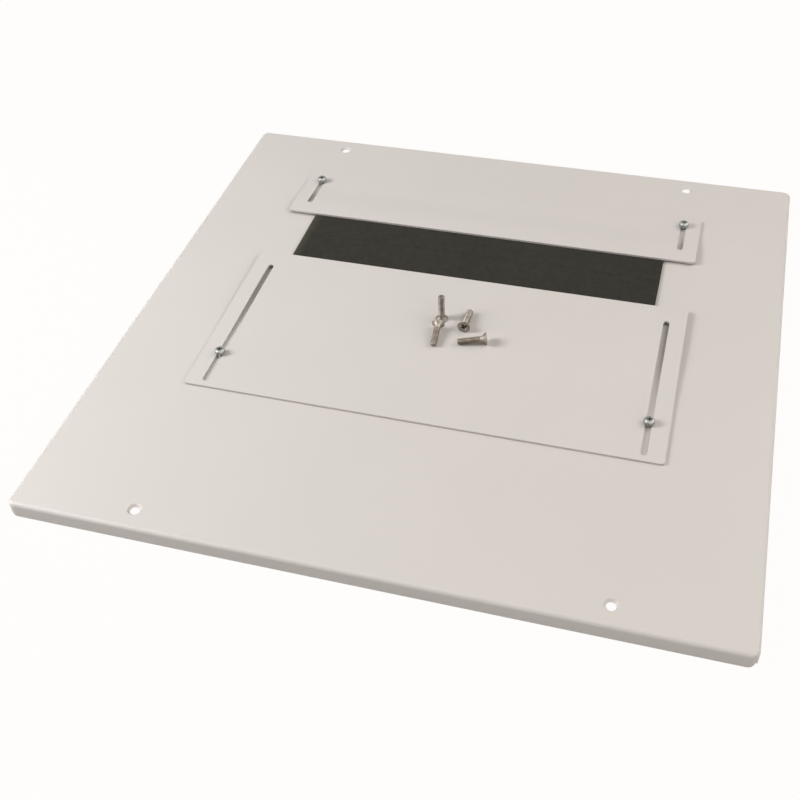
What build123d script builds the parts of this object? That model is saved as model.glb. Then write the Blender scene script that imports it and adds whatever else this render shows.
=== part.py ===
from build123d import *
import os
from itertools import product
from math import asin, atan, cos, pi, sin, sqrt

# Enclosure top plate: a folded sheet pan with a cable opening, closed by two slotted covers that
# slide on guide screws and carry soft sealing strips along their inner edges. Millimetres, +X to
# the right, +Y to the rear, +Z up. The origin is the centre of the plate, on the plane that the
# rim of its folded edges rests on.

# Plate: one folded sheet
plate_width = 600.0
plate_depth = 600.0
plate_height = 14.5
plate_sheet = 2.0
plate_corner_radius = 7.0
fold_inner_radius = 1.5
flange_corner_radius = 6.0
corner_slit = 0.3
rear_flange_cut = 5.0
rear_flange_corner = 30.0

# Fixing holes: countersinks cut nearly through the sheet, one near each corner
fixing_hole_inset_x = 107.5
fixing_hole_inset_y = 19.5
fixing_hole_radius = 4.0
countersink_radius = 5.9

# Sealing strips: cellular rubber under the inner edges of the covers
strip_width = 366.0
strip_thickness = 2.0
strip_glue_width = 15.0
strip_gap = 0.2
front_strip_reach = 41.8
rear_strip_reach = 34.0
seam_inset = 188.0

# Covers: sheets that are bent up in front of the strips, so that their inner part stays raised
front_side_margin = 18.05
rear_side_margin = 17.0
cover_sheet = 2.0
cover_gap = 0.1
cover_corner_radius = 3.0
front_raised_length = 36.0
front_bend_length = 110.0
rear_raised_length = 16.0
rear_bend_length = 38.0
front_travel = 134.3
front_reserve = 35.2
rear_travel = 40.8
front_inner_margin = 20.6
front_outer_margin = 6.6
rear_inner_margin = 18.8
rear_outer_margin = 11.4

# Cable opening in the plate: clear of the opened covers, and overlapped by the strips' ends
opening_setback = 4.0
strip_overlap = 8.0
opening_corner_radius = 5.0

# Guide screws and nuts: M5 pan heads through the slots into nuts welded under the plate
guide_side_gap = 13.4
guide_radius = 2.5
guide_tip_reach = 2.8
guide_tip_chamfer = 0.6
guide_head_radius = 4.75
guide_head_height = 3.6
guide_rim_height = 1.5
guide_recess_width = 1.3
guide_recess_length = 5.0
guide_recess_depth = 1.9
head_gap = 0.1
slot_clearance = 0.25
guide_hole_clearance = 0.25
thread_clearance = 0.05
nut_across_flats = 9.0
nut_height = 4.0

# Fixing screws: M6 countersunk heads, supplied loose. One stands on the front cover and three lie
# there. Places are x and y from the middle of the cover's inner edge, and a heading is in degrees,
# from the head to the tip.
fixing_radius = 3.0
fixing_length = 27.0
fixing_tip_chamfer = 0.8
fixing_head_radius = 6.0
fixing_rim_height = 0.4
fixing_recess_width = 1.7
fixing_recess_length = 6.4
fixing_recess_depth = 2.8
standing_screw_x = -8.6
standing_screw_y = -64.5
left_screw_x = -8.4
left_screw_y = -77.6
left_screw_heading = -86.0
middle_screw_x = 15.9
middle_screw_y = -78.8
middle_screw_heading = 90.0
right_screw_x = 40.8
right_screw_y = -88.6
right_screw_heading = 195.0
lying_gap = 0.1

# Sizes that follow from the ones above
plate_fold_radius = fold_inner_radius + plate_sheet
plate_underside = plate_height - plate_sheet
countersink_depth = countersink_radius - fixing_hole_radius
cover_base = plate_height + cover_gap
cover_lift = strip_gap + strip_thickness - cover_gap
seam_y = plate_depth / 2 - seam_inset
guide_x = strip_width / 2 + guide_side_gap
front_cover_width = 2 * (guide_x + front_side_margin)
rear_cover_width = 2 * (guide_x + rear_side_margin)
slot_radius = guide_radius + slot_clearance
front_inner_y = seam_y - front_strip_reach
rear_inner_y = seam_y + rear_strip_reach
front_slot_inner = front_inner_margin + slot_radius
rear_slot_inner = rear_inner_margin + slot_radius
front_slot_length = front_travel + front_reserve
front_cover_depth = front_slot_inner + front_slot_length + slot_radius + front_outer_margin
rear_cover_depth = rear_slot_inner + rear_travel + slot_radius + rear_outer_margin
front_guide_y = front_inner_y - front_slot_inner - front_travel
rear_guide_y = rear_inner_y + rear_slot_inner + rear_travel


def span(x, y, z):
    """A block between two limits on each axis."""
    size = [high - low for low, high in (x, y, z)]
    middle = [(low + high) / 2 for low, high in (x, y, z)]
    return Pos(*middle) * Box(*size)


def bend_radius(bend_length):
    """Radius, at mid sheet, of the two equal arcs that lift a cover by cover_lift."""
    return (bend_length**2 + cover_lift**2) / (4 * cover_lift)


def top_rise(raised_length, bend_length, inset):
    """Height gained by the upper face of a cover, at a distance inset from its inner edge."""
    radius = bend_radius(bend_length)
    fall = min(max(0.0, inset - raised_length), bend_length)
    climb = bend_length - fall
    if fall < climb:
        outer = radius + cover_sheet / 2
        return cover_lift - outer + sqrt(outer**2 - fall**2)
    inner = radius - cover_sheet / 2
    return inner - sqrt(inner**2 - climb**2)


def plate_pan():
    """The plate with its four edges folded down, before any hole."""
    outline = RectangleRounded(plate_width, plate_depth, plate_corner_radius)
    outside = extrude(outline, plate_height)
    outside = fillet(outside.faces().sort_by(Axis.Z)[-1].edges(), plate_fold_radius)
    inner_width = plate_width - 2 * plate_sheet
    inner_depth = plate_depth - 2 * plate_sheet
    inner_outline = RectangleRounded(inner_width, inner_depth, plate_corner_radius - plate_sheet)
    hollow = extrude(inner_outline, plate_underside)
    hollow = fillet(hollow.faces().sort_by(Axis.Z)[-1].edges(), fold_inner_radius)
    return outside - hollow


def corner_cut():
    """What is cut from a corner: a slit between two flange ends that are rounded at the rim."""
    side = corner_slit / 2
    top = plate_height - plate_fold_radius
    rounding = flange_corner_radius
    shoulder = rounding * (1 - 1 / sqrt(2))
    lines = [
        Line((-side - rounding, 0), (side + rounding, 0)),
        ThreePointArc((side + rounding, 0), (side + shoulder, shoulder), (side, rounding)),
        Line((side, rounding), (side, top)),
        Line((side, top), (-side, top)),
        Line((-side, top), (-side, rounding)),
        ThreePointArc((-side, rounding), (-side - shoulder, shoulder), (-side - rounding, 0)),
    ]
    return extrude(make_face(Plane.YZ * (Curve() + lines)), -plate_corner_radius)


def corner_cuts():
    """The cuts at the four corners of the plate."""
    apex_inset = plate_corner_radius * (1 - 1 / sqrt(2))
    apex_x = plate_width / 2 - apex_inset
    apex_y = plate_depth / 2 - apex_inset
    cut = Pos(apex_x, apex_y, 0) * Rot(0, 0, 45) * corner_cut()
    mirrored = mirror(cut, Plane.YZ)
    return [cut, mirrored, mirror(cut, Plane.XZ), mirror(mirrored, Plane.XZ)]


def rear_relief():
    """What the rear flange lacks in height, so that light passes under it to the fixing holes."""
    half = plate_width / 2 - rear_flange_corner
    edge = plate_depth / 2
    return span((-half, half), (edge - plate_fold_radius, edge), (0, rear_flange_cut))


def fixing_hole_places():
    """Centres of the four fixing holes."""
    x = plate_width / 2 - fixing_hole_inset_x
    y = plate_depth / 2 - fixing_hole_inset_y
    return [(side * x, end * y) for side, end in product((-1, 1), repeat=2)]


def fixing_hole():
    """A fixing hole and its 90 degree countersink, through the sheet from its upper face."""
    hang = (Align.CENTER, Align.CENTER, Align.MAX)
    cone = Cone(fixing_hole_radius, countersink_radius, countersink_depth, align=hang)
    return Pos(0, 0, plate_height) * (cone + Cylinder(fixing_hole_radius, plate_sheet, align=hang))


def guide_places():
    """Centres of the guide screws, the front pair first."""
    return [(side * guide_x, y) for y in (front_guide_y, rear_guide_y) for side in (-1, 1)]


def cable_opening():
    """The rounded rectangle that the opened covers leave clear."""
    front = front_inner_y - front_travel + opening_setback
    rear = rear_inner_y + rear_travel - opening_setback
    width = strip_width - 2 * strip_overlap
    outline = RectangleRounded(width, rear - front, opening_corner_radius)
    return extrude(Pos(0, (front + rear) / 2, plate_underside) * outline, plate_sheet)


def base_plate():
    """The folded plate with its fixing holes, guide holes and cable opening."""
    plate = plate_pan() - corner_cuts() - rear_relief() - cable_opening()
    for x, y in fixing_hole_places():
        plate -= Pos(x, y, 0) * fixing_hole()
    hole = Cylinder(guide_radius + guide_hole_clearance, plate_sheet)
    for x, y in guide_places():
        plate -= Pos(x, y, plate_height - plate_sheet / 2) * hole
    return plate


def bend_arc(centre, radius, start, end):
    """An arc of a bend in the cover's own section, between two angles from the vertical."""
    y, z = centre
    angles = (start, (start + end) / 2, end)
    return ThreePointArc(*((y + radius * sin(angle), z + radius * cos(angle)) for angle in angles))


def cover_section(depth, raised_length, bend_length):
    """Outline of a cover from the side: inner edge at y 0, outer edge at y -depth, flat at z 0."""
    radius = bend_radius(bend_length)
    wide = radius + cover_sheet / 2
    tight = radius - cover_sheet / 2
    turn = 2 * atan(cover_lift / bend_length)
    foot = (-raised_length - bend_length, wide)
    crest = (-raised_length, cover_lift - tight)
    lower_foot = bend_arc(foot, wide, pi, pi - turn)
    lower_crest = bend_arc(crest, tight, -turn, 0)
    upper_crest = bend_arc(crest, wide, 0, -turn)
    upper_foot = bend_arc(foot, tight, pi - turn, pi)
    return [
        Line((-depth, 0), lower_foot @ 0),
        lower_foot,
        lower_crest,
        Line(lower_crest @ 1, (0, cover_lift)),
        Line((0, cover_lift), (0, cover_lift + cover_sheet)),
        Line((0, cover_lift + cover_sheet), upper_crest @ 0),
        upper_crest,
        upper_foot,
        Line(upper_foot @ 1, (-depth, cover_sheet)),
        Line((-depth, cover_sheet), (-depth, 0)),
    ]


def extrude_section(lines, width):
    """A section drawn in y and z, drawn out to its width along x."""
    face = make_face(Plane.YZ * (Curve() + lines))
    return extrude(face, width / 2, both=True)


def cover_sheet_solid(width, depth, raised_length, bend_length):
    """A cover without slots: inner edge at y 0, outer edge at y -depth, underside at z 0."""
    plan = Pos(0, -depth / 2, 0) * RectangleRounded(width, depth, cover_corner_radius)
    bent = extrude_section(cover_section(depth, raised_length, bend_length), width)
    return bent & extrude(plan, cover_sheet + cover_lift)


def with_slots(cover, slot_inner, slot_length):
    """A cover with its two slots, which start slot_inner from the inner edge."""
    outline = SlotCenterToCenter(slot_length, 2 * slot_radius, rotation=90)
    slot = extrude(outline, cover_sheet + cover_lift)
    for side in (-1, 1):
        cover -= Pos(side * guide_x, -slot_inner - slot_length / 2, 0) * slot
    return cover


def seal_strip(reach):
    """A strip glued under a cover's raised part, which reaches out past the cover's inner edge."""
    sides = (-strip_width / 2, strip_width / 2)
    return span(sides, (-strip_glue_width, reach), (strip_gap - cover_gap, cover_lift))


def in_front(piece):
    """Puts the front cover or what goes with it on the plate, the inner edge facing the rear."""
    return Pos(0, front_inner_y, cover_base) * piece


def behind(piece):
    """Puts the rear cover or its strip on the plate, the inner edge facing the front."""
    return Pos(0, rear_inner_y, cover_base) * Rot(0, 0, 180) * piece


def cross_recess(width, length, depth):
    """Two crossed, tapering slots, cut down from z 0."""
    blade = loft([Rectangle(length, width), Pos(0, 0, -depth) * Rectangle(width, width / 2)])
    return blade + Rot(0, 0, 90) * blade


def guide_head_base():
    """Height of the heads: just clear of the raised part when a cover is slid fully open."""
    front = top_rise(front_raised_length, front_bend_length, front_slot_inner - guide_head_radius)
    rear = top_rise(rear_raised_length, rear_bend_length, rear_slot_inner - guide_head_radius)
    return cover_base + cover_sheet + max(front, rear) + head_gap


def guide_screw():
    """A pan-head guide screw with the underside of its head at z 0."""
    tip = plate_underside - nut_height - guide_tip_reach - guide_head_base()
    edge = guide_head_height - guide_rim_height
    flat = guide_head_radius - edge
    bulge = edge / sqrt(2)
    outline = Curve() + [
        Line((0, tip), (guide_radius - guide_tip_chamfer, tip)),
        Line((guide_radius - guide_tip_chamfer, tip), (guide_radius, tip + guide_tip_chamfer)),
        Line((guide_radius, tip + guide_tip_chamfer), (guide_radius, 0)),
        Line((guide_radius, 0), (guide_head_radius, 0)),
        Line((guide_head_radius, 0), (guide_head_radius, guide_rim_height)),
        ThreePointArc(
            (guide_head_radius, guide_rim_height),
            (flat + bulge, guide_rim_height + bulge),
            (flat, guide_head_height),
        ),
        Line((flat, guide_head_height), (0, guide_head_height)),
        Line((0, guide_head_height), (0, tip)),
    ]
    body = revolve(make_face(Plane.XZ * outline), Axis.Z)
    recess = cross_recess(guide_recess_width, guide_recess_length, guide_recess_depth)
    return body - Pos(0, 0, guide_head_height) * recess


def guide_nut():
    """A hexagon nut with its upper face at z 0."""
    outline = RegularPolygon(nut_across_flats / 2, 6, major_radius=False)
    outline -= Circle(guide_radius + thread_clearance)
    return extrude(outline, -nut_height)


def fixing_screw():
    """A countersunk screw that stands on its head at z 0."""
    neck = fixing_rim_height + fixing_head_radius - fixing_radius
    outline = Polyline(
        (0, 0),
        (fixing_head_radius, 0),
        (fixing_head_radius, fixing_rim_height),
        (fixing_radius, neck),
        (fixing_radius, fixing_length - fixing_tip_chamfer),
        (fixing_radius - fixing_tip_chamfer, fixing_length),
        (0, fixing_length),
        close=True,
    )
    body = revolve(make_face(Plane.XZ * outline), Axis.Z)
    recess = cross_recess(fixing_recess_width, fixing_recess_length, fixing_recess_depth)
    return body - Rot(180, 0, 0) * recess


def front_cover_top(y):
    """Height of the front cover's upper face over its own flat underside, at y from its inner edge."""
    return cover_sheet + top_rise(front_raised_length, front_bend_length, -y)


def lying_place(x, y, heading):
    """Where a screw lies on the front cover: on its head's rim at x, y and on its tip."""
    run = Vector(1, 0, 0).rotate(Axis.Z, heading)
    heel = Vector(x, y, front_cover_top(y) + lying_gap)
    toe_y = y + run.Y * fixing_length
    toe = Vector(x + run.X * fixing_length, toe_y, front_cover_top(toe_y) + lying_gap)
    line = (toe - heel).normalized()
    side = Vector(0, 0, 1).cross(line).normalized()
    up = line.cross(side)
    droop = asin((fixing_head_radius - fixing_radius) / fixing_length)
    axis = line * cos(droop) - up * sin(droop)
    spoke = up * cos(droop) + line * sin(droop)
    return Location(Plane(origin=heel + spoke * fixing_head_radius, x_dir=spoke, z_dir=axis))


def standing_place(x, y):
    """Where a screw stands on its head on the front cover, on the highest point under its rim."""
    return Location((x, y, front_cover_top(y + fixing_head_radius) + lying_gap))


def fixing_screws():
    """The four fixing screws, in the front cover's own frame: one stands, and three lie."""
    places = [
        standing_place(standing_screw_x, standing_screw_y),
        lying_place(left_screw_x, left_screw_y, left_screw_heading),
        lying_place(middle_screw_x, middle_screw_y, middle_screw_heading),
        lying_place(right_screw_x, right_screw_y, right_screw_heading),
    ]
    return [place * fixing_screw() for place in places]


def guide_screws():
    """The four guide screws in their nuts."""
    return [Pos(x, y, guide_head_base()) * guide_screw() for x, y in guide_places()]


def guide_nuts():
    """The four nuts under the plate."""
    return [Pos(x, y, plate_underside) * guide_nut() for x, y in guide_places()]


def front_cover():
    """The deeper cover, with its inner edge at y 0."""
    sheet = cover_sheet_solid(
        front_cover_width, front_cover_depth, front_raised_length, front_bend_length
    )
    return with_slots(sheet, front_slot_inner, front_slot_length)


def rear_cover():
    """The shallower cover, with its inner edge at y 0."""
    sheet = cover_sheet_solid(rear_cover_width, rear_cover_depth, rear_raised_length, rear_bend_length)
    return with_slots(sheet, rear_slot_inner, rear_travel)


def nodes():
    """Every piece of the top plate by name."""
    return {
        "base_plate": base_plate(),
        "front_cover": in_front(front_cover()),
        "rear_cover": behind(rear_cover()),
        "front_seal_strip": in_front(seal_strip(front_strip_reach)),
        "rear_seal_strip": behind(seal_strip(rear_strip_reach)),
        "guide_screws": Compound(guide_screws()),
        "guide_nuts": Compound(guide_nuts()),
        "fixing_screws": Compound([in_front(screw) for screw in fixing_screws()]),
    }


os.makedirs("parts", exist_ok=True)
for name, shape in nodes().items():
    export_step(shape, f"parts/{name}.step")
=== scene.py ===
from math import cos, hypot, pi, radians, sin, sqrt, tau

import bmesh
import bpy
import numpy as np
from mathutils import Matrix, Vector, noise


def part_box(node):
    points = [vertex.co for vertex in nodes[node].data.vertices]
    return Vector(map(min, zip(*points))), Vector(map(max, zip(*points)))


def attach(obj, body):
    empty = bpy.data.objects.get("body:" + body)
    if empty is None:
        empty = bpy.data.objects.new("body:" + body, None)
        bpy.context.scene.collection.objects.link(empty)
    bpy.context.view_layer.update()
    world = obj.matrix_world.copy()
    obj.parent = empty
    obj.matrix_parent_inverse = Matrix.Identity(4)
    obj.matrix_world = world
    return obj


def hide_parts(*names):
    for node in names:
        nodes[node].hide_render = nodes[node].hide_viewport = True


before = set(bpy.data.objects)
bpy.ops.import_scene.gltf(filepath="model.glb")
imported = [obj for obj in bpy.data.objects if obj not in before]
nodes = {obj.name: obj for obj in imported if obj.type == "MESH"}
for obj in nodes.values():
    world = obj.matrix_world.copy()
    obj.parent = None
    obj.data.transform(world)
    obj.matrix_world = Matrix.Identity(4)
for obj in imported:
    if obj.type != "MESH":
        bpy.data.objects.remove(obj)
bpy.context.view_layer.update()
mm = 0.001

# Camera: the photograph's viewing angle and lens, as a pinhole that looks at a point of the plate's face
camera_place = Vector((0.20463, -0.79618, 0.70241))
camera_aim = Vector((-0.01803, -0.10672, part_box("base_plate")[1].z))
camera_roll = radians(-3.032)
camera_lens = 51.04
camera_sensor = 36.0
camera_clip_start = 0.01

# Lamps: the key lamp and a wide weaker one from the left, three weak ones from the right and the rear,
# and a large soft one above the object. Each has its azimuth and elevation in degrees, its distance
# from the object's middle, its size, its power and its colour.
lamps = {
    "key": (200, 36, 1.6, 0.6, 17.5, (0.893, 0.943, 1.0)),
    "wide_key": (200, 25, 3.0, 2.0, 30.4, (1.0, 0.96, 0.93)),
    "right_front": (-45, 25, 2.0, 1.7, 13.4, (1.0, 0.992, 0.963)),
    "right_rear": (15, 36, 1.8, 1.3, 12.9, (1.0, 0.983, 0.99)),
    "rear": (45, 38, 2.5, 1.5, 7.1, (0.975, 1.0, 1.0)),
    "top": (90, 85, 3.0, 2.5, 17.8, (1.0, 0.985, 0.945)),
}

# Backdrop and floor: the backdrop is white where it is seen or mirrored, and gives no light. The floor
# is seen nearly as white, and sends light back to the object as a grey one.
backdrop_light = 0.0
backdrop_colour = (1.0, 0.985, 0.975, 1)
floor_seen_colour = (0.86, 0.855, 0.85, 1)
floor_lighting_colour = (0.46, 0.455, 0.45, 1)
floor_white_share = 0.98
floor_radius = 6.0
floor_segments = 96
floor_gap = 0.05 * mm

# Noise textures, each with its features per metre, its detail and its roughness, and the range in which
# the value of such a texture mostly stays
paint_patches = (9, 3, 0.5)
paint_grain = (1800, 2, 0.5)
paint_sheen = (500, 2, 0.5)
paint_peel = (1100, 1, 0.5)
foam_mottle = (160, 3, 0.6)
foam_patches = (30, 2, 0.5)
zinc_patches = (250, 3, 0.5)
zinc_sheen = (900, 2, 0.5)
zinc_grain = (5000, 2, 0.5)
noise_range = (0.3, 0.7)

# Paint, with its colour as linear light. The share of a colour that a face shows goes from its side
# share to 1 as the height of its normal goes through the upward range. A side share below 1, as the
# covers have, is painted shade on faces that look sideways or down.
paint_colour = (0.640, 0.590, 0.545, 1)
paint_patch_shades = (0.99, 1.01)
paint_grain_shades = (0.985, 1.015)
paint_roughness = (0.46, 0.5)
paint_peel_strength = 0.25
paint_peel_height = 0.03 * mm
paint_edge_radius = 0.15 * mm
plate_side_painted_shade = 1.0
cover_side_painted_shade = 0.74
upward_range = (0.3, 0.7)

# Foam, with its colour as linear light. Its cells are painted darker in their pits, as painted shade,
# and its left end is painted paler, as a painted highlight.
foam_colour = (0.0232, 0.0207, 0.0151, 1)
foam_mottle_shades = (0.85, 1.15)
foam_patch_shades = (0.93, 1.07)
cells_per_metre = 1300
cell_wall_distance = 0.5
# The cells are painted darker in their pits by these shades, as painted shade
cell_painted_shades = (0.55, 1.2)
cell_pit_strength = 0.6
cell_pit_depth = 0.25 * mm
# The left end is painted paler by this share over this width, as a painted highlight
end_highlight_share = 2.3
end_highlight_width = 9 * mm

# Zinc plating of the guide screws and nuts, the lying screws and the standing one, each with its colour
# as linear light, its unevenness and its roughness. The standing one's is a darker copy of the lying
# ones', as painted shade.
guide_zinc = ((0.30, 0.304, 0.285, 1), 0.2, 0.44)
lying_zinc = ((0.30, 0.265, 0.225, 1), 0.3, 0.4)
standing_painted_shade_zinc = ((0.19, 0.167, 0.142, 1), 0.3, 0.46)
zinc_bright_share = 0.7
zinc_roughness_spread = 0.07
zinc_grain_strength = 0.2
zinc_grain_height = 0.02 * mm

# Both screws: a thread's depth is a share of its pitch, and its crest and flank are shares of half its
# pitch. Each level of a recess has its height as a share of the depth and its size as a share of the
# mouth's, and the core share of an arm's width doesn't taper.
screw_segments = 40
screw_crease = 35
thread_depth_share = 0.61
thread_crest_share = 0.125
thread_flank_share = 0.625
thread_steps = 8
thread_fade_turns = 1.5
recess_levels = ((0.5, 1.12), (0.0, 1.0), (-0.75, 0.55), (-1.0, 0.28))
recess_core_share = 0.6
recess_least_arm = 1.05
recess_margin = 0.05 * mm
# Faces inside a recess carry this attribute, and the zinc plating is painted darker there by this share, as
# painted shade
recess_attribute = "recess"
recess_painted_shade = 0.45

# Guide screws: M5 pan heads
guide_pitch = 0.8 * mm
guide_radius = 2.5 * mm
guide_head_radius = 4.75 * mm
guide_head_height = 3.6 * mm
guide_head_edge = 0.15 * mm
guide_rim_height = 1.5 * mm
guide_dome_steps = 8
guide_recess_width = 1.5 * mm
guide_recess_length = 5.0 * mm
guide_recess_depth = 2.8 * mm
guide_recess_turns = (14, 2, 9, -3)
guide_tip_chamfer = 0.6 * mm

# Fixing screws: M6 countersunk heads. The direction of a standing one rises by the standing rise or more.
fixing_pitch = 1.0 * mm
fixing_radius = 3.0 * mm
fixing_head_radius = 6.0 * mm
fixing_head_edge = 0.12 * mm
fixing_rim_height = 0.4 * mm
fixing_neck = 1.6 * mm
fixing_flare_width = 0.1 * mm
fixing_flare_height = 0.2 * mm
fixing_recess_width = 1.7 * mm
fixing_recess_length = 6.4 * mm
fixing_recess_depth = 2.8 * mm
fixing_recess_turns = (0, 10, 25, 40)
fixing_tip_chamfer = 0.8 * mm
standing_rise = 0.9

# Guide nuts
nut_across_flats = 9.0 * mm
nut_chamfer = 0.45 * mm
nut_face_share = 0.96
nut_bore_radius = 2.2 * mm
nut_bore_chamfer = 0.4 * mm
nut_segments = 48
nut_crease = 25

# Sealing strips: each wave of their surface has its features per metre and its share
strip_edge_radius = 0.35 * mm
strip_edge_steps = 4
strip_end_radius = 0.9 * mm
strip_end_steps = 6
strip_end_drop = 0.8
strip_end_narrowing = 0.3
strip_grid = 1.5 * mm
strip_waves = ((90, 1.0), (260, 0.5))
strip_wave_height = 0.06 * mm
strip_wave_narrowing = 0.5
strip_inset = 0.03 * mm
strip_crease = 50

# Points of a CAD solid that agree to this many decimals, in metres, are one
same_point_decimals = 7


# Materials


def new_material(name):
    """A material, with its node tree and its Principled shader."""
    material = bpy.data.materials.new(name)
    material.use_nodes = True
    tree = material.node_tree
    return material, tree, tree.nodes["Principled BSDF"]


def set_values(node, **values):
    """Sets sockets of a shader node, with spaces in their names written as underscores."""
    for name, value in values.items():
        node.inputs[name.replace("_", " ")].default_value = value


def noise_texture(tree, scale, detail, roughness):
    """Noise over the object's own coordinates, with scale in features per metre."""
    place = tree.nodes.new("ShaderNodeTexCoord")
    texture = tree.nodes.new("ShaderNodeTexNoise")
    set_values(texture, Scale=scale, Detail=detail, Roughness=roughness)
    tree.links.new(place.outputs["Object"], texture.inputs["Vector"])
    return texture.outputs["Fac"]


def mapped(tree, value, given, wanted):
    """Maps a value from a given range onto the wanted one, and keeps it inside."""
    node = tree.nodes.new("ShaderNodeMapRange")
    set_values(node, From_Min=given[0], From_Max=given[1], To_Min=wanted[0], To_Max=wanted[1])
    tree.links.new(value, node.inputs["Value"])
    return node.outputs["Result"]


def uneven(tree, texture, wanted):
    """A value that a noise texture moves through the wanted range."""
    return mapped(tree, noise_texture(tree, *texture), noise_range, wanted)


def shade(tree, colour, *factors):
    """A colour times each of the factors."""
    result = tree.nodes.new("ShaderNodeRGB").outputs["Color"]
    result.default_value = colour
    for factor in factors:
        scaled = tree.nodes.new("ShaderNodeVectorMath")
        scaled.operation = "SCALE"
        tree.links.new(result, scaled.inputs["Vector"])
        tree.links.new(factor, scaled.inputs["Scale"])
        result = scaled.outputs["Vector"]
    return result


def bump(tree, height, strength, distance):
    """A bump node for a height value."""
    node = tree.nodes.new("ShaderNodeBump")
    set_values(node, Strength=strength, Distance=distance)
    tree.links.new(height, node.inputs["Height"])
    return node


def painted_side_shade(tree, side_painted_shade):
    """Painted shade: 1 on faces that look up, and the side share on those that look sideways or down."""
    place = tree.nodes.new("ShaderNodeTexCoord")
    parts = tree.nodes.new("ShaderNodeSeparateXYZ")
    tree.links.new(place.outputs["Normal"], parts.inputs["Vector"])
    return mapped(tree, parts.outputs["Z"], upward_range, (side_painted_shade, 1.0))


def powder_coat(name, side_painted_shade):
    """Satin powder coat: fine orange peel, a trace of unevenness, softly rounded edges, and painted shade
    by the side share on faces that look sideways or down.
    """
    material, tree, shader = new_material(name)
    set_values(shader, IOR=1.5, Specular_IOR_Level=0.5)
    patches = uneven(tree, paint_patches, paint_patch_shades)
    grain = uneven(tree, paint_grain, paint_grain_shades)
    # The last factor is painted shade on faces that look sideways or down
    colour = shade(tree, paint_colour, patches, grain, painted_side_shade(tree, side_painted_shade))
    tree.links.new(colour, shader.inputs["Base Color"])
    tree.links.new(uneven(tree, paint_sheen, paint_roughness), shader.inputs["Roughness"])
    peel = bump(tree, noise_texture(tree, *paint_peel), paint_peel_strength, paint_peel_height)
    edge = tree.nodes.new("ShaderNodeBevel")
    set_values(edge, Radius=paint_edge_radius)
    tree.links.new(edge.outputs["Normal"], peel.inputs["Normal"])
    tree.links.new(peel.outputs["Normal"], shader.inputs["Normal"])
    return material


def cellular_rubber(name, left_end):
    """Charcoal cellular rubber with cut cells over its surface, painted shade in the cells' pits, and a
    painted highlight that makes it paler towards its left end's x.
    """
    material, tree, shader = new_material(name)
    set_values(shader, Roughness=0.95, Specular_IOR_Level=0.25)
    place = tree.nodes.new("ShaderNodeTexCoord").outputs["Object"]
    cells = tree.nodes.new("ShaderNodeTexVoronoi")
    set_values(cells, Scale=cells_per_metre)
    tree.links.new(place, cells.inputs["Vector"])
    # Painted shade in the cells' pits
    pit_shade = mapped(tree, cells.outputs["Distance"], (0.0, cell_wall_distance), cell_painted_shades)
    mottle = uneven(tree, foam_mottle, foam_mottle_shades)
    patches = uneven(tree, foam_patches, foam_patch_shades)
    parts = tree.nodes.new("ShaderNodeSeparateXYZ")
    tree.links.new(place, parts.inputs["Vector"])
    # Painted highlight: paler towards the left end
    end_highlight = mapped(tree, parts.outputs["X"], (left_end, left_end + end_highlight_width), (end_highlight_share, 1.0))
    tree.links.new(shade(tree, foam_colour, pit_shade, mottle, patches, end_highlight), shader.inputs["Base Color"])
    pits = bump(tree, cells.outputs["Distance"], cell_pit_strength, cell_pit_depth)
    tree.links.new(pits.outputs["Normal"], shader.inputs["Normal"])
    return material


def zinc_plate(name, colour, unevenness, roughness):
    """Zinc-plated steel with an uneven passivation and a fine grain, and painted shade inside a screw's
    recess.
    """
    material, tree, shader = new_material(name)
    set_values(shader, Metallic=1.0)
    tone = uneven(tree, zinc_patches, (1 - unevenness, 1 + unevenness * zinc_bright_share))
    recess = tree.nodes.new("ShaderNodeAttribute")
    recess.attribute_name = recess_attribute
    # Painted shade inside a screw's recess
    recess_shading = mapped(tree, recess.outputs["Fac"], (0.0, 1.0), (1.0, recess_painted_shade))
    tree.links.new(shade(tree, colour, tone, recess_shading), shader.inputs["Base Color"])
    roughnesses = (roughness - zinc_roughness_spread, roughness + zinc_roughness_spread)
    tree.links.new(uneven(tree, zinc_sheen, roughnesses), shader.inputs["Roughness"])
    grain = bump(tree, noise_texture(tree, *zinc_grain), zinc_grain_strength, zinc_grain_height)
    tree.links.new(grain.outputs["Normal"], shader.inputs["Normal"])
    return material


# Objects and meshes


def new_object(name, data):
    """A new object in the scene."""
    made = bpy.data.objects.new(name, data)
    bpy.context.scene.collection.objects.link(made)
    return made


def mesh_piece(name, mesh, material, body, slot, *replaced):
    """A new piece that rides on a CAD body and stands for CAD nodes."""
    piece = new_object(name, mesh)
    if not mesh.materials:
        mesh.materials.append(material)
    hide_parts(*replaced)
    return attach(piece, body)


def solid_points(node):
    """The points of each separate solid of a CAD node, as one array of distinct points a solid."""
    mesh = nodes[node].data
    keys = [tuple(round(value, same_point_decimals) for value in vertex.co) for vertex in mesh.vertices]
    parent = {key: key for key in keys}

    def root(key):
        while parent[key] != key:
            parent[key] = parent[parent[key]]
            key = parent[key]
        return key

    for edge in mesh.edges:
        first, second = (root(keys[index]) for index in edge.vertices)
        parent[first] = second
    groups = {}
    for key in parent:
        groups.setdefault(root(key), []).append(key)
    return [np.array(group) for group in groups.values()]


def upright_axis(points):
    """The x and y of an upright solid's middle, and its lowest and highest z."""
    low, high = points.min(axis=0), points.max(axis=0)
    x, y, _ = (low + high) / 2
    return x, y, low[2], high[2]


def bridge(made, ring, other):
    """Faces from one closed ring of points to another."""
    for step in range(len(ring)):
        after = (step + 1) % len(ring)
        made.faces.new((ring[step], ring[after], other[after], other[step]))


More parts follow.
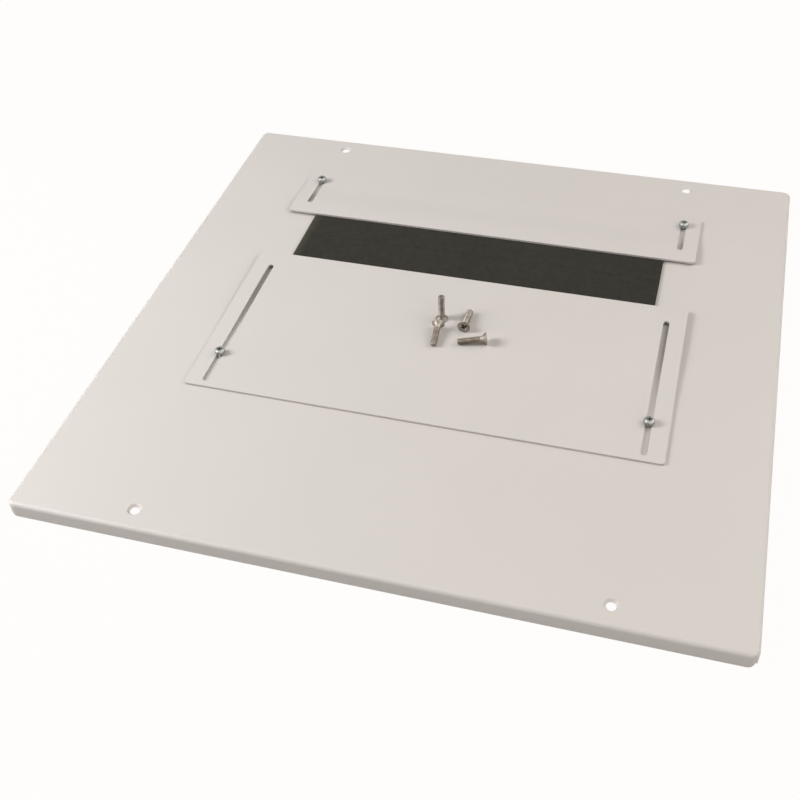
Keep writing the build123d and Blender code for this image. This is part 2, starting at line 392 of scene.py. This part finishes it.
def close_tube(made, rings):
    """Faces along a row of rings of points, and over both of its ends."""
    for ring, other in zip(rings, rings[1:]):
        bridge(made, ring, other)
    for ring in (rings[0], rings[-1]):
        made.faces.new(ring)


def revolved(rows, segments, solid):
    """A surface round Z. Each row is a function from an angle to a point's radius and height.

    A solid one is closed by a point at each end, and another one by its last row and its first.
    """
    made = bmesh.new()
    rings = []
    for row in rows:
        ring = []
        for step in range(segments):
            angle = tau * step / segments
            radius, height = row(angle)
            ring.append(made.verts.new((radius * cos(angle), radius * sin(angle), height)))
        rings.append(ring)
    for ring, other in zip(rings, rings[1:]):
        bridge(made, ring, other)
    if not solid:
        bridge(made, rings[-1], rings[0])
        return made
    for ring in (rings[0], rings[-1]):
        pole = made.verts.new((0, 0, ring[0].co.z))
        for step in range(segments):
            made.faces.new((ring[step], ring[(step + 1) % segments], pole))
    return made


def circle(radius, height):
    """A row of a revolved surface: a circle."""
    return lambda angle: (radius, height)


def hexagon(half_width, height):
    """A row of a revolved surface: a hexagon, with half its width across flats."""
    return lambda angle: (half_width / cos((angle + pi / 6) % (pi / 3) - pi / 6), height)


def thread_rows(radius, pitch, start, end, chamfer):
    """Rows of a right-hand thread that runs up from a chamfered tip at start and fades out at end."""
    count = round((end - start) / pitch * thread_steps)

    def row_at(height):
        depth = thread_depth_share * pitch * min(1.0, (end - height) / (thread_fade_turns * pitch))
        tip = radius - chamfer + (height - start)

        def row(angle):
            phase = (height / pitch - angle / tau) % 1.0
            ramp = abs(2 * phase - 1)
            cut = min(1.0, max(0.0, (ramp - thread_crest_share) / thread_flank_share))
            return (min(radius - depth * cut, tip), height)
        return row

    return [row_at(start + (end - start) * step / count) for step in range(count + 1)]


def cross_cutter(width, length, depth, top):
    """A tapered cross, for a recess whose mouth is at height top."""
    made = bmesh.new()
    rings = []
    for rise, share in recess_levels:
        half = width / 2 * (recess_core_share + (1 - recess_core_share) * share)
        arm = max(length / 2 * share, half * recess_least_arm)
        ring = []
        for quarter in range(4):
            turn = Matrix.Rotation(quarter * pi / 2, 3, "Z")
            for x, y in ((arm, -half), (arm, half), (half, half)):
                ring.append(made.verts.new(turn @ Vector((x, y, depth * rise + top))))
        rings.append(ring)
    close_tube(made, rings)
    return made


def recessed_screw(rows, width, length, depth, top):
    """A screw of these rows with a cross recess in its head's flat face, which is at height top.

    The faces of the recess have the attribute by which the zinc plating paints shade into them.
    """
    mesh = bake_difference(revolved(rows, screw_segments, True), cross_cutter(width, length, depth, top))
    recess = mesh.attributes.new(recess_attribute, "FLOAT", "FACE")
    for face, mark in zip(mesh.polygons, recess.data):
        x, y, z = face.center
        is_within = top - depth - recess_margin < z < top - recess_margin
        mark.value = float(is_within and hypot(x, y) < length / 2)
    smooth(mesh, screw_crease)
    return mesh


def to_mesh(made, name):
    """A mesh from a bmesh, which is freed."""
    mesh = bpy.data.meshes.new(name)
    bmesh.ops.recalc_face_normals(made, faces=made.faces)
    made.to_mesh(mesh)
    made.free()
    return mesh


def bake_difference(solid, cutter):
    """A mesh of one closed bmesh minus another."""
    kept = new_object("solid", to_mesh(solid, "solid"))
    taken = new_object("cutter", to_mesh(cutter, "cutter"))
    cut = kept.modifiers.new("cut", "BOOLEAN")
    cut.operation = "DIFFERENCE"
    cut.solver = "EXACT"
    cut.object = taken
    bpy.context.view_layer.update()
    shaped = kept.evaluated_get(bpy.context.evaluated_depsgraph_get())
    mesh = bpy.data.meshes.new_from_object(shaped)
    bpy.data.objects.remove(kept)
    bpy.data.objects.remove(taken)
    return mesh


def smooth(mesh, crease):
    """Smooth shading, apart from edges sharper than a crease angle in degrees."""
    mesh.shade_smooth()
    made = bmesh.new()
    made.from_mesh(mesh)
    for edge in made.edges:
        edge.smooth = len(edge.link_faces) == 2 and edge.calc_face_angle(0) < radians(crease)
    made.to_mesh(mesh)
    made.free()


# Pieces


def guide_screw_mesh(length):
    """A pan-head screw, with the underside of its head at z 0 and its tip at -length."""
    rows = thread_rows(guide_radius, guide_pitch, -length, 0.0, guide_tip_chamfer)
    rows.append(circle(guide_head_radius - guide_head_edge, 0.0))
    rows.append(circle(guide_head_radius, guide_head_edge))
    dome = guide_head_height - guide_rim_height
    for step in range(guide_dome_steps + 1):
        turn = step / guide_dome_steps * pi / 2
        rows.append(circle(guide_head_radius - dome * (1 - cos(turn)), guide_rim_height + dome * sin(turn)))
    return recessed_screw(
        rows, guide_recess_width, guide_recess_length, guide_recess_depth, guide_head_height
    )


def add_guide_screws(material):
    """Threaded guide screws, each where the CAD node has one."""
    mesh = None
    groups = solid_points("guide_screws")
    groups.sort(key=lambda points: (points[:, 1].mean() > 0, points[:, 0].mean()))
    for number, (points, turn) in enumerate(zip(groups, guide_recess_turns), 1):
        x, y, tip, top = upright_axis(points)
        head_base = top - guide_head_height
        if mesh is None:
            mesh = guide_screw_mesh(head_base - tip)
        piece = mesh_piece(f"guide_screw_{number}", mesh, material, "plate", "screw_zinc", "guide_screws")
        piece.matrix_world = Matrix.Translation((x, y, head_base)) @ Matrix.Rotation(radians(turn), 4, "Z")


def fixing_screw_mesh(length):
    """A countersunk screw that points down: its head's face is at z 0 and its tip at -length."""
    head_height = fixing_rim_height + fixing_head_radius - fixing_radius
    thread_end = -head_height - fixing_neck
    rows = thread_rows(fixing_radius, fixing_pitch, -length, thread_end, fixing_tip_chamfer)
    rows.append(circle(fixing_radius, -head_height - fixing_flare_height))
    rows.append(circle(fixing_radius + fixing_flare_width, -head_height))
    rows.append(circle(fixing_head_radius, -fixing_rim_height))
    rows.append(circle(fixing_head_radius, -fixing_head_edge))
    rows.append(circle(fixing_head_radius - fixing_head_edge, 0.0))
    return recessed_screw(rows, fixing_recess_width, fixing_recess_length, fixing_recess_depth, 0.0)


def screw_axis(points):
    """A countersunk screw's head's middle, its direction from tip to head, and its length."""
    middle = points.mean(axis=0)
    direction = np.linalg.svd(points - middle)[2][0]
    along = (points - middle) @ direction
    away = np.linalg.norm(points - middle - np.outer(along, direction), axis=1)
    if away[along > 0].max() < away[along < 0].max():
        direction, along = -direction, -along
    return Vector(middle + direction * along.max()), Vector(direction), along.max() - along.min()


def add_fixing_screws(standing_material, lying_material):
    """Threaded fixing screws, each where the CAD node has one: the standing one and then the others."""
    groups = [screw_axis(points) for points in solid_points("fixing_screws")]
    groups.sort(key=lambda group: (abs(group[1].z) < standing_rise, group[0].x))
    standing_mesh = fixing_screw_mesh(groups[0][2])
    lying_mesh = standing_mesh.copy()
    for number, ((head, direction, _), turn) in enumerate(zip(groups, fixing_recess_turns), 1):
        stands = abs(direction.z) >= standing_rise
        mesh = standing_mesh if stands else lying_mesh
        material = standing_material if stands else lying_material
        piece = mesh_piece(
            f"fixing_screw_{number}", mesh, material, "front_slide", "screw_zinc", "fixing_screws"
        )
        stand = direction.to_track_quat("Z", "Y").to_matrix().to_4x4()
        piece.matrix_world = Matrix.Translation(head) @ stand @ Matrix.Rotation(radians(turn), 4, "Z")


def nut_mesh(height):
    """A hexagon nut with chamfered corners, with its upper face at z 0."""
    flat = nut_across_flats / 2
    rows = (
        circle(nut_bore_radius + nut_bore_chamfer, -height),
        circle(flat * nut_face_share, -height),
        hexagon(flat, nut_chamfer - height),
        hexagon(flat, -nut_chamfer),
        circle(flat * nut_face_share, 0.0),
        circle(nut_bore_radius + nut_bore_chamfer, 0.0),
        circle(nut_bore_radius, -nut_bore_chamfer),
        circle(nut_bore_radius, nut_bore_chamfer - height),
    )
    mesh = to_mesh(revolved(rows, nut_segments, False), "guide_nut")
    smooth(mesh, nut_crease)
    return mesh


def add_guide_nuts(material):
    """Guide nuts, each where the CAD node has one."""
    for number, points in enumerate(solid_points("guide_nuts"), 1):
        x, y, bottom, top = upright_axis(points)
        mesh = nut_mesh(top - bottom)
        piece = mesh_piece(f"guide_nut_{number}", mesh, material, "plate", "nut_zinc", "guide_nuts")
        piece.matrix_world = Matrix.Translation((x, y, top))


def rounded_outline(corners, radius):
    """The outline of a rectangle in y and z, with each corner rounded by an arc."""
    corners = [Vector(corner) for corner in corners]
    outline = []
    for index, corner in enumerate(corners):
        before = (corners[index - 1] - corner).normalized()
        after = (corners[(index + 1) % len(corners)] - corner).normalized()
        centre = corner + (before + after) * radius
        for step in range(strip_edge_steps + 1):
            outline.append(centre - after.lerp(before, step / strip_edge_steps).normalized() * radius)
    return outline


def refine(outline, spacing):
    """The outline with points added, so that none of its sides is much longer than spacing."""
    result = []
    for index, point in enumerate(outline):
        after = outline[(index + 1) % len(outline)]
        count = max(1, round((after - point).length / spacing))
        result += [point.lerp(after, step / count) for step in range(count)]
    return result


def strip_stations(width):
    """Distances along a strip, which are closer together at its rounded ends."""
    turns = [step / strip_end_steps * pi / 2 for step in range(strip_end_steps)]
    ends = [strip_end_radius * (1 - cos(turn)) for turn in turns]
    count = round(width / strip_grid)
    straight = width - 2 * strip_end_radius
    inner = [strip_end_radius + straight * step / count for step in range(count + 1)]
    return ends + inner + [width - end for end in reversed(ends)]


def add_strip(name, node, body, seam_at_rear, material):
    """A sealing strip with rounded cut edges and a faintly uneven surface, where its CAD solid is."""
    low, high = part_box(node)
    seam_y, glue_y = (high.y, low.y) if seam_at_rear else (low.y, high.y)
    middle_y = (seam_y + glue_y) / 2
    width = high.x - low.x
    corners = ((glue_y, low.z), (seam_y, low.z), (seam_y, high.z), (glue_y, high.z))
    section = refine(rounded_outline(corners, strip_edge_radius), strip_grid)
    made = bmesh.new()
    rings = []
    for station in strip_stations(width):
        fall = max(0.0, 1 - min(station, width - station) / strip_end_radius)
        shrink = strip_end_radius * (1 - sqrt(1 - fall**2))
        ring = []
        for y, z in section:
            place = Vector((low.x + station, y, z))
            wave = sum(share * noise.noise(place * scale) for scale, share in strip_waves)
            hollow = abs(strip_wave_height * wave)
            rise = (z - low.z) / (high.z - low.z)
            place.z -= rise * (shrink * strip_end_drop + hollow) + strip_inset * (rise - 0.5) * 2
            inwards = (middle_y - y) / abs(middle_y - seam_y)
            place.y += inwards * (
                shrink * strip_end_narrowing + hollow * strip_wave_narrowing + strip_inset
            )
            ring.append(made.verts.new(place))
        rings.append(ring)
    close_tube(made, rings)
    mesh = to_mesh(made, name)
    smooth(mesh, strip_crease)
    piece = mesh_piece(name, mesh, material, body, "seal_foam", node)


# Studio


def looking_at(place, target):
    """The pose of a camera or lamp that looks from a place at a target."""
    return Matrix.Translation(place) @ (target - place).to_track_quat("-Z", "Y").to_matrix().to_4x4()


def add_camera():
    """The camera at the photograph's viewing angle."""
    data = bpy.data.cameras.new("camera")
    data.lens = camera_lens
    data.sensor_width = camera_sensor
    data.clip_start = camera_clip_start
    camera = new_object("camera", data)
    camera.matrix_world = looking_at(camera_place, camera_aim) @ Matrix.Rotation(camera_roll, 4, "Z")
    bpy.context.scene.camera = camera


def add_area_light(name, azimuth, elevation, distance, size, power, colour):
    """A soft square lamp that faces the middle of the object."""
    data = bpy.data.lights.new(name, "AREA")
    data.size = size
    data.energy = power
    data.color = colour
    turn, rise = radians(azimuth), radians(elevation)
    place = distance * Vector((cos(turn) * cos(rise), sin(turn) * cos(rise), sin(rise)))
    new_object(name, data).matrix_world = looking_at(place, Vector((0, 0, 0)))


def seen_directly(tree):
    """1 for camera, glossy and transmission rays, and 0 for those that only light the object."""
    path = tree.nodes.new("ShaderNodeLightPath")
    result = path.outputs["Is Camera Ray"]
    for name in ("Is Glossy Ray", "Is Transmission Ray"):
        either = tree.nodes.new("ShaderNodeMath")
        either.operation = "MAXIMUM"
        tree.links.new(result, either.inputs[0])
        tree.links.new(path.outputs[name], either.inputs[1])
        result = either.outputs["Value"]
    return result


def mix_shaders(tree, share, first, second, output):
    """Shows two shaders at an output node, the second of them by its share."""
    mix = tree.nodes.new("ShaderNodeMixShader")
    tree.links.new(share, mix.inputs["Fac"])
    tree.links.new(first, mix.inputs[1])
    tree.links.new(second, mix.inputs[2])
    tree.links.new(mix.outputs["Shader"], tree.nodes[output].inputs["Surface"])


def set_world():
    """A white backdrop for what looks at it, which leaves the object's lighting to the lamps."""
    world = bpy.data.worlds.new("studio")
    bpy.context.scene.world = world
    world.use_nodes = True
    tree = world.node_tree
    lit = tree.nodes["Background"]
    set_values(lit, Strength=backdrop_light)
    seen = tree.nodes.new("ShaderNodeBackground")
    set_values(seen, Color=backdrop_colour, Strength=1.0)
    first, second = lit.outputs["Background"], seen.outputs["Background"]
    mix_shaders(tree, seen_directly(tree), first, second, "World Output")


def add_floor():
    """A plain pale floor that nearly melts into the backdrop and keeps the object's shadow."""
    made = bmesh.new()
    bmesh.ops.create_circle(made, cap_ends=True, radius=floor_radius, segments=floor_segments)
    floor = new_object("floor", to_mesh(made, "floor"))
    floor.location.z = -floor_gap
    material, tree, shader = new_material("floor_paper")
    set_values(shader, Roughness=0.9, Specular_IOR_Level=0.0)
    seen = seen_directly(tree)
    paper = tree.nodes.new("ShaderNodeMix")
    paper.data_type = "RGBA"
    set_values(paper, A=floor_lighting_colour, B=floor_seen_colour)
    tree.links.new(seen, paper.inputs["Factor"])
    tree.links.new(paper.outputs["Result"], shader.inputs["Base Color"])
    glow = tree.nodes.new("ShaderNodeEmission")
    set_values(glow, Color=backdrop_colour)
    share = mapped(tree, seen, (0.0, 1.0), (0.0, floor_white_share))
    mix_shaders(tree, share, shader.outputs["BSDF"], glow.outputs["Emission"], "Material Output")
    floor.data.materials.append(material)


# The object
plate_paint = powder_coat("plate_powder_coat", plate_side_painted_shade)
# The covers' coat is painted darker on faces that look sideways or down, as painted shade
cover_paint = powder_coat("cover_powder_coat", cover_side_painted_shade)
for node, paint in (("base_plate", plate_paint), ("front_cover", cover_paint), ("rear_cover", cover_paint)):
    nodes[node].data.materials.clear()
    nodes[node].data.materials.append(paint)
bright_zinc = zinc_plate("zinc_plate", *guide_zinc)
dull_zinc = zinc_plate("dull_zinc_plate", *lying_zinc)
# The standing screw's plating is painted darker than the lying ones', as painted shade
painted_shade_zinc = zinc_plate("painted_shade_zinc_plate", *standing_painted_shade_zinc)
add_guide_screws(bright_zinc)
add_fixing_screws(painted_shade_zinc, dull_zinc)
add_guide_nuts(bright_zinc)
foam = cellular_rubber("charcoal_cellular_rubber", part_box("front_seal_strip")[0].x)
add_strip("front_seal_foam", "front_seal_strip", "front_slide", True, foam)
add_strip("rear_seal_foam", "rear_seal_strip", "rear_slide", False, foam)

# The studio
add_camera()
set_world()
for name, lamp in lamps.items():
    add_area_light(name, *lamp)
add_floor()
bpy.context.scene.view_settings.view_transform = "Standard"
